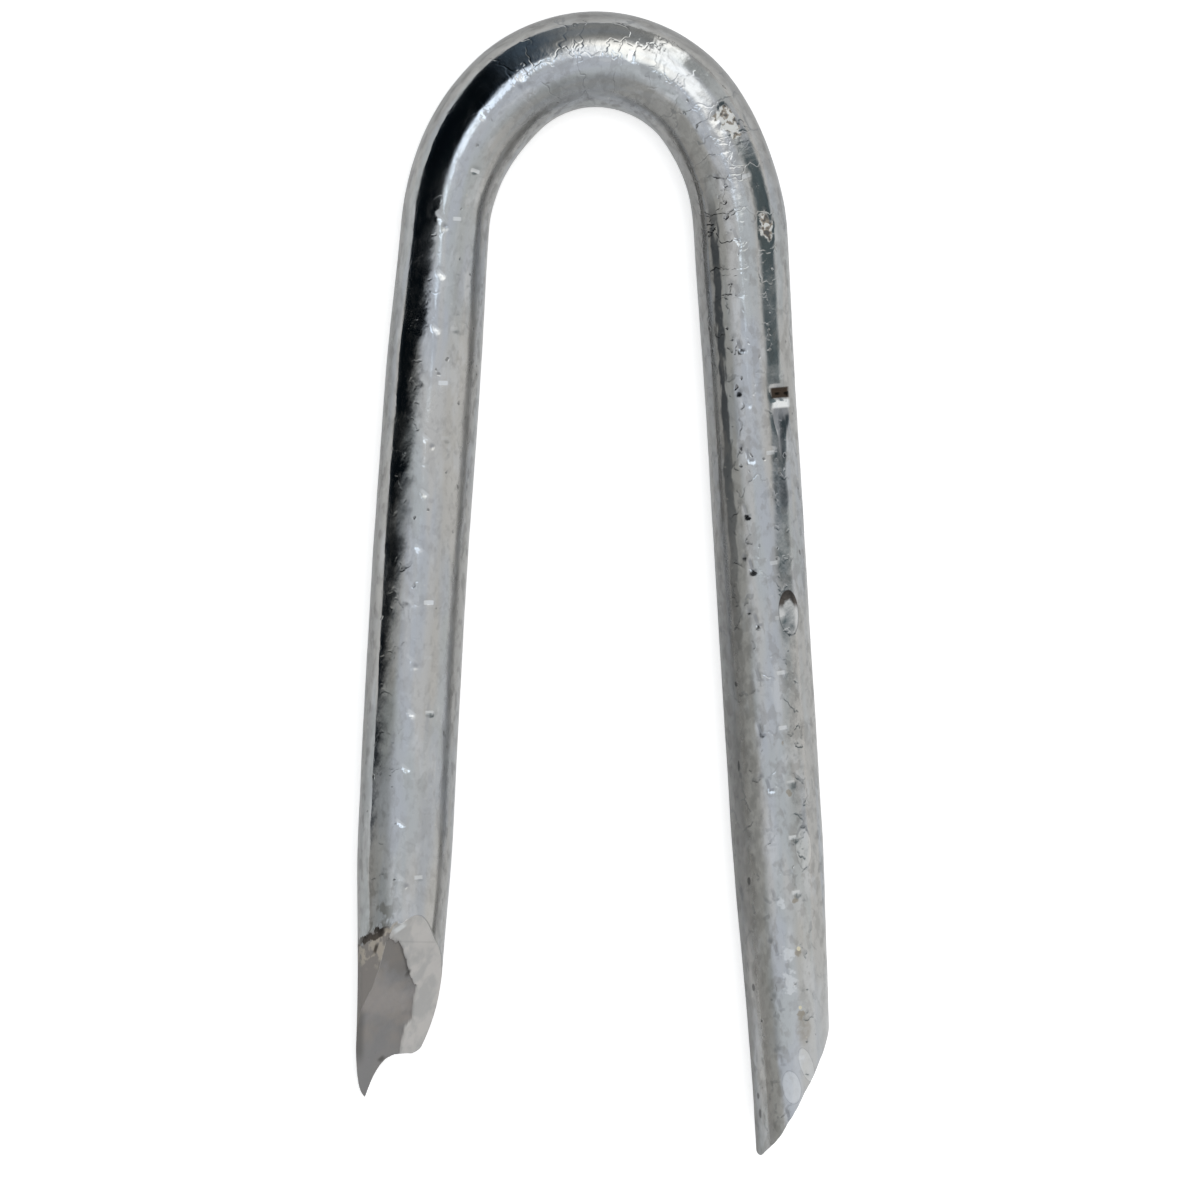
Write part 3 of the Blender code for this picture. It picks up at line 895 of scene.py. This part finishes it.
for patch in PALE_PATCHES:
    coat.add(PAINTED_GLINT_AND_PALE_MARK, ragged_oval(patch, 0.7, 0.10, 0.40, 0.2) * 0.6)
tan_haze = oval(along, arc, TAN_HAZE).ease(0.0, 0.6) * (mark_crumbs + 0.75).least(1.0)
coat.add(SPOT_BROWN, tan_haze * 0.55)
for spot in BROWN_SPOTS:
    coat.add(SPOT_BROWN, ragged_oval(spot, 0.8, 0.20, 0.60, 0.3) * 0.8)
for pit in EDGE_PITS:
    pitted = (oval(along, arc, pit) + mark_crumbs * 0.4).ease(0.15, 0.45)
    coat.add(PIT_COLOUR, pitted * 0.8)
for fleck in GOLD_FLECKS:
    golden = (oval(along, arc, fleck) + mark_crumbs * 0.3).ease(0.1, 0.3)
    coat.add(GOLD_FLECK, golden)
tell("Spots and flecks", zinc_tree)

# %% The faint ovals: paler inside, with a painted shaded outline and painted shade at the top
for flat in (FAINT_OVAL, *TIP_OVALS):
    inside = oval(along, arc, flat)
    coat.add(PAINTED_GLINT_AND_PALE_MARK, (inside + mark_crumbs * 0.15).ease(0.03, 0.16) * 0.26)
    coat.add(PAINTED_SHADE_AND_STAIN, hump(inside, 0.035, 0.05) * 0.35)
faint_top_shade = (FAINT_OVAL[0] * MM - along).ease_mm(0.25, 0.65)
faint_top_shade = faint_top_shade * hump(oval(along, arc, FAINT_OVAL), 0.12, 0.14)
coat.add(PAINTED_SHADE_AND_STAIN, faint_top_shade * 0.6)
tell("Faint ovals", zinc_tree)

# %% The flaked patches beside the crown: tan, with painted white glints and dark pits
FLAKED_TAN = (0.42, 0.36, 0.29)
PAINTED_GLINT_WHITE = (1.0, 1.0, 0.98)
scuff_grain = zinc_noise(4.0, 4.0, 3.0, 81.0)
chips = Layers(FLAKED_TAN, PAINTED_GLINT_WHITE, scuff_grain.ease(0.48, 0.54))
chips.add(PIT_COLOUR, scuff_grain.ease(0.46, 0.40))
coat.add(chips.colour, in_scuff * 0.8)
tell("Flaked patches", zinc_tree)

# %% The square nick with a painted dark slot, a painted highlight on its lip and painted shadow beyond, the spindle stain, and the oval dimple with painted shade and painted light
BROWN_PAINTED_SHADE = (0.06, 0.045, 0.035)
spindle = oval(along, arc, SPINDLE_STAIN).ease(0.0, 0.5)
nick_tail = oval(along, arc, NICK_TAIL).ease(0.0, 0.5)
nick_shadow = oval(along, arc, NICK_SHADOW).ease(0.0, 0.3).most(nick_tail)
dimple = oval(along, arc, OVAL_DIMPLE)
dimple_top = (OVAL_DIMPLE[0] * MM - along).ease_mm(0.10, 0.42)
dimple_foot = (along - OVAL_DIMPLE[0] * MM).ease_mm(0.20, 0.75)
dimple_cap_shade = dimple.ease(0.0, 0.08) * (dimple + mark_crumbs * 0.15).ease(0.52, 0.36) * dimple_top
coat.add(PAINTED_SHADE_AND_STAIN, nick_shadow.most(spindle) * 0.7)
coat.add(PALE_FILM_AND_PAINTED_LIGHT, dimple.ease(0.06, 0.14) * 0.75)
coat.add(PAINTED_SHADE_AND_STAIN, dimple.ease(0.02, 0.10) * dimple_foot * 0.35)
coat.add(PAINTED_SHADE_AND_STAIN, hump(dimple, 0.05, 0.06) * 0.6)
coat.add(BROWN_PAINTED_SHADE, dimple_cap_shade * 0.9)
# Painted highlight on the nick's lip, and painted shade in its slot
coat.add(PAINTED_GLINT_AND_PALE_MARK, square(along, arc, NICK_LIP_HIGHLIGHT, 0.5))
coat.add(BROWN_PAINTED_SHADE, square(along, arc, SQUARE_NICK, 0.7))
tell("Nick and dimple", zinc_tree)

# %% [markdown]
# ## Bare steel
# The zinc ends at the rim of each cut. A second set of steps mixes the colours of the steel there:
# pale where the blade slid, grey where the steel let go, and brown where the last of it tore. A
# separate material would need a split mesh; a mask that the wire's tree has kept does the same.

# %% The burnished band and the fracture
FRACTURE_STEEL = (0.275, 0.255, 0.240)
FRACTURE_BLUE = (0.238, 0.233, 0.234)
BURNISHED = (0.70, 0.675, 0.655)
BURNISHED_DULL = (0.58, 0.57, 0.56)
RIDGE_SHADOW = (0.12, 0.115, 0.11)
TORN_BROWN = (0.17, 0.155, 0.14)
TORN_PALE = (0.36, 0.335, 0.325)
on_left = along.ease_mm(45.0, 40.0)
face_out = LEFT_CUT - along
steel = Layers(FRACTURE_STEEL, FRACTURE_BLUE, zinc_noise(0.6, 0.5, 2.0, 40.0).ease(0.45, 0.6))
steel.add(FRACTURE_BLUE, face_out.ease_mm(0.9, 1.5) * 0.7)
steel.add(FRACTURE_BLUE, zinc_noise(3.5, 2.5, 3.0, 42.0).ease(0.45, 0.65) * 0.5)
torn_cloud = (zinc_noise(1.6, 1.2, 4.0, 63.0) - 0.5) * (2.0 * MM)
steel.add(TORN_BROWN, (face_out + torn_cloud).ease_mm(-1.45, -2.1) * 0.55)
steel.add(TORN_PALE, hump(face_out + torn_cloud, -0.55 * MM, 1.0 * MM) * 0.5)
edge_shadow = face_out.ease_mm(-0.3, 0.2) * face_out.ease_mm(2.4, 1.6)
edge_shadow = edge_shadow * across.ease_mm(1.25, 1.52)
steel.add(RIDGE_SHADOW, edge_shadow * 0.7)
burnished = Layers(BURNISHED, BURNISHED_DULL, zinc_noise(1.6, 0.9, 4.0, 44.0).ease(0.44, 0.62))
burnished.add(RIDGE_SHADOW, hump(face_out, -2.90 * MM, 0.06 * MM) * 0.12)
fracture = into_fracture.ease_mm(-0.03, 0.03) * on_left
steel = Layers(burnished.colour, steel.colour, fracture)
tell("Fracture", zinc_tree)

# %% Dark and bright spots on the left face
# Each is measured out from mid cut and inwards from the axis, and otherwise as the marks above are
RIDGE_SPOT = (-1.62, 0.34, 0.26, 0.11, -28.0)
BREAK_SPOT = (1.98, -0.66, 0.13, 0.22, 42.0)
BRIGHT_FLAKE = (-3.45, -0.02, 0.14, 0.40, 38.0)
BURR_BRANCH = (-2.56, -0.97, 0.28, 0.10, -15.0)
ridge_shadow = hump(into_fracture, 0.09 * MM, 0.12 * MM) * face_out.ease_mm(-1.35, -1.6)
dark_spots = square(face_out, -across, RIDGE_SPOT, 0.2).most(square(face_out, -across, BREAK_SPOT, 0.2))
steel.add(RIDGE_SHADOW, (ridge_shadow * 0.7).most(dark_spots) * on_left)
bright_flake = square(face_out, -across, BRIGHT_FLAKE, 0.3) * on_left
steel.add(PAINTED_GLINT_AND_PALE_MARK, bright_flake * 0.8)
coat.add(steel.colour, cut_face)
tell("Spots on the face", zinc_tree)

# %% The torn flake on the outer side, and the burr at its wall, painted dark as the shadow in the step
TORN_TAN = (0.50, 0.45, 0.385)
BURR_AND_STEP_SHADOW = (0.05, 0.04, 0.032)
flake_tan = zinc_noise(4.2, 2.6, 4.0, 90.0).ease(0.48, 0.58)
flake_colour = colour_mix(FRACTURE_STEEL, TORN_TAN, flake_tan * face_out.ease_mm(-1.6, -2.1) * 0.8)
torn_side = across.ease_mm(1.20, 1.35) * face_out.ease_mm(-2.72, -2.60) * on_left
in_flake = in_flake.most(torn_side)
coat.add(flake_colour, in_flake * (1.0 - cut_face))
burr_line = face_out - FLAKE_WALL + across * FLAKE_WALL_SLANT
burr_ragged = (zinc_noise(2.6, 1.0, 3.0, 95.0) - 0.5) * (0.8 * MM)
burr = hump(burr_line + burr_ragged, -0.02 * MM, 0.26 * MM).ease(0.1, 0.6)
burr = burr * across.ease_mm(0.50, 0.72) * level.above(0.0) * on_left
burr_branch = square(face_out, -across, BURR_BRANCH, 0.3) * on_left
coat.add(BURR_AND_STEP_SHADOW, burr.most(burr_branch) * 0.9)
tell("Flake and burr", zinc_tree)

# %% Roughness and bump
FILM_ROUGHNESS = 0.065
CUT_ROUGHNESS = 0.40
BARE_ROUGHNESS = 0.65
BARE_DULLS_METAL = 0.75
bare = (cut_face * (fracture * 0.8 + 0.2)).most(in_flake) * on_left
rough_side = (-side_ratio).ease(0.45, 0.75) * along.ease_mm(64.0, 78.0)
inner_band = hump(side_ratio, -0.76, 0.20) * (1.0 - past_crown)
roughness = zinc_noise(0.9, 0.5, 3.0, 50.0).ease(0.35, 0.65) * 0.07 + FILM_ROUGHNESS
roughness = roughness + speckle.ease(0.5, 0.7) * 0.05 + cracks * 0.08 + outer_side.most(inner_side) * 0.10
roughness = roughness + rough_side * 0.26 + inner_band * 0.16
roughness = roughness.blend(CUT_ROUGHNESS, cut_face).blend(BARE_ROUGHNESS, bare.most(in_scuff))
metallic = 1.0 - bare * BARE_DULLS_METAL
# Heights of the bump are in millimetres
height = zinc_noise(1.6, 2.6, 3.0, 86.0) * on_crown * 0.010 - crackle * 0.004
height = height + zinc_noise(1.8, 0.9, 3.0, 60.0) * 0.0042 + zinc_noise(7.0, 4.0, 3.0, 66.0) * 0.0014
height = height - cracks * 0.003 - pits * 0.012
bump = lay(zinc_tree, "ShaderNodeBump", {"Height": height, "Distance": MM, "Strength": 1.0})
shader = lay(zinc_tree, "ShaderNodeBsdfPrincipled", {
    "Base Color": coat.colour,
    "Metallic": metallic,
    "Roughness": roughness,
    "Normal": bump.outputs[0],
})
lay(zinc_tree, "ShaderNodeOutputMaterial", {"Surface": shader.outputs[0]})
print("Nodes in the zinc:", len(zinc_tree.nodes))

# %% [markdown]
# ## The table, the light and the camera
# The staple lies on a white table under a wide soft light. Polished metal shows its surroundings, so
# the room matters more than any lamp: the dark bands along the wire are dark walls, and the bright
# patches on the crown and the shoulders are windows. Planes round the staple could stand for them,
# but the world holds them all as sums of two angles, with nothing to hide from the camera.

# %% The table
FLOOR_SIDE = 2.0
FLOOR_DROP = 0.01 * MM
TABLE_WHITE = (0.80, 0.80, 0.80, 1.0)
GLOW_WHITE = (1.0, 1.0, 1.0, 1.0)
TABLE_GLOW = 0.55
half = FLOOR_SIDE / 2
corners = [(-half, -half, -FLOOR_DROP), (half, -half, -FLOOR_DROP),
           (half, half, -FLOOR_DROP), (-half, half, -FLOOR_DROP)]
floor_mesh = bpy.data.meshes.new("table")
floor_mesh.from_pydata(corners, [], [(0, 1, 2, 3)])
table = bpy.data.objects.new("table", floor_mesh)
bpy.context.scene.collection.objects.link(table)
table_material = bpy.data.materials.new("white_table")
table_material.use_nodes = True
table_tree = table_material.node_tree
table_tree.nodes.clear()
rays = table_tree.nodes.new("ShaderNodeLightPath").outputs
seen = Reading(table_tree, rays["Is Camera Ray"]).most(Reading(table_tree, rays["Is Transmission Ray"]))
matt = lay(table_tree, "ShaderNodeBsdfDiffuse", {"Color": TABLE_WHITE})
glow = lay(table_tree, "ShaderNodeEmission", {"Color": GLOW_WHITE, "Strength": seen * TABLE_GLOW})
added = lay(table_tree, "ShaderNodeAddShader", {0: matt.outputs[0], 1: glow.outputs[0]})
lay(table_tree, "ShaderNodeOutputMaterial", {"Surface": added.outputs[0]})
floor_mesh.materials.append(table_material)
tell("Table", table_tree)

# %% The room, as seen in the metal
world = bpy.data.worlds.new("room")
bpy.context.scene.world = world
world.use_nodes = True
room = world.node_tree
room.nodes.clear()
direction = lay(room, "ShaderNodeSeparateXYZ", {0: room.nodes.new("ShaderNodeTexCoord").outputs["Generated"]})
east, north, up = (Reading(room, direction.outputs[index]) for index in range(3))
# Both angles are in degrees: azimuth from +X towards +Y, and zenith from straight up
azimuth = north.math("ARCTAN2", east) * math.degrees(1.0)
zenith = up.math("ARCCOSINE") * math.degrees(1.0)
tell("Directions", room)

# %% The walls and the sky
WEST_SKY = (0.42, 0.43, 0.42)
EAST_SKY = (0.80, 0.80, 0.79)
OVERHEAD = (0.78, 0.80, 0.825)
SOUTH_SKY = (0.47, 0.48, 0.48)
LOW_WEST = (0.40, 0.40, 0.39)
NORTH_GREY = (0.33, 0.34, 0.34)
light = Layers(WEST_SKY, EAST_SKY, east * 0.5 + 0.5)
light.add(SOUTH_SKY, (-north).ease(0.15, 0.80))
light.add(OVERHEAD, up.ease(0.72, 0.95))
light.add(LOW_WEST, (-east).ease(0.70, 0.95) * zenith.ease(55.0, 82.0))
north_grey = azimuth.ease(35.0, 62.0) * azimuth.ease(150.0, 120.0) * zenith.ease(40.0, 54.0)
light.add(NORTH_GREY, north_grey)
tell("Walls", room)

# %% The windows
WINDOW = (1.85, 1.86, 1.82)
BLUE_WINDOW = (1.70, 1.86, 2.02)
window = azimuth.ease(36.0, 47.0) * azimuth.ease(106.0, 84.0) * zenith.ease(3.0, 13.0)
window = window * (zenith + (azimuth - 70.0).most(0.0) * 0.45).ease(54.0, 38.0)
tall_window = hump(azimuth, 62.5, 8.5).ease(0.0, 0.6) * zenith.ease(12.0, 20.0) * zenith.ease(90.0, 78.0)
light.add(WINDOW, window.most(tall_window))
side_window = hump(azimuth, 128.0, 27.0).ease(0.0, 0.5) * zenith.ease(2.8, 6.5) * zenith.ease(25.0, 16.0)
light.add(BLUE_WINDOW, side_window)
tell("Windows", room)

# %% The dark walls, and white for the camera
BLUE_DARK = (0.09, 0.12, 0.155)
BLACK_WALL = (0.003, 0.005, 0.007)
TEAL_WALL = (0.12, 0.15, 0.16)
PAPER_WHITE = (1.0, 1.0, 1.0)
above_edge = (north + zenith * 0.0011 - 0.112).ease(-0.022, 0.018)
blue_dark = azimuth.ease(93.0, 115.0) * zenith.ease(15.0, 27.0) * above_edge
light.add(BLUE_DARK, blue_dark)
black = (zenith + azimuth * 0.28 - 60.0).ease(-5.0, 6.0) * azimuth.ease(112.0, 134.0) * above_edge
light.add(BLACK_WALL, black * (1.0 - zenith.ease(76.0, 92.0) * 0.12))
teal = azimuth.ease(1.5, 5.5) * azimuth.ease(30.0, 23.0) * zenith.ease(35.0, 50.0) * zenith.ease(88.0, 76.0)
light.add(TEAL_WALL, teal)
room_rays = room.nodes.new("ShaderNodeLightPath")
light.add(PAPER_WHITE, Reading(room, room_rays.outputs["Is Camera Ray"]))
background = lay(room, "ShaderNodeBackground", {"Color": light.colour, "Strength": 1.0})
lay(room, "ShaderNodeOutputWorld", {"Surface": background.outputs[0]})
tell("Room", room)

# %% The soft lamp
LAMP_LENGTH = 0.5
LAMP_WIDTH = 0.4
LAMP_WATTS = 2.0
LAMP_PLACE = (0.05, 0.05, 0.75)
lamp = bpy.data.lights.new("softbox", "AREA")
lamp.shape = "RECTANGLE"
lamp.size = LAMP_LENGTH
lamp.size_y = LAMP_WIDTH
lamp.energy = LAMP_WATTS
softbox = bpy.data.objects.new("softbox", lamp)
softbox.location = LAMP_PLACE
softbox.rotation_mode = "QUATERNION"
softbox.rotation_quaternion = softbox.location.to_track_quat("Z", "Y")
softbox.visible_glossy = False
bpy.context.scene.collection.objects.link(softbox)
print("Lamp in watts:", LAMP_WATTS)

# %% The camera, straight above
PHOTO_SIDE = 1200
PIXELS_PER_MM = 24.87
LENS = 200.0
SENSOR = 36.0
NEAREST = 0.01
FARTHEST = 10.0
VIEW_MIDDLE = (0.306 * MM, -0.663 * MM)
seen_width = PHOTO_SIDE / PIXELS_PER_MM * MM
camera_data = bpy.data.cameras.new("camera")
camera_data.lens = LENS
camera_data.sensor_width = SENSOR
camera_data.clip_start = NEAREST
camera_data.clip_end = FARTHEST
camera = bpy.data.objects.new("camera", camera_data)
camera.location = (*VIEW_MIDDLE, FLAT_LEVEL + seen_width * LENS / SENSOR)
bpy.context.scene.collection.objects.link(camera)
bpy.context.scene.camera = camera
bpy.context.scene.view_settings.view_transform = "Standard"
print("Camera height in mm:", round(camera.location.z / MM, 1))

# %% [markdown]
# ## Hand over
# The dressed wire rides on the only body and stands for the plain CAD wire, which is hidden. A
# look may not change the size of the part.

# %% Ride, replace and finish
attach(staple, "root")
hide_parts("fence_staple")
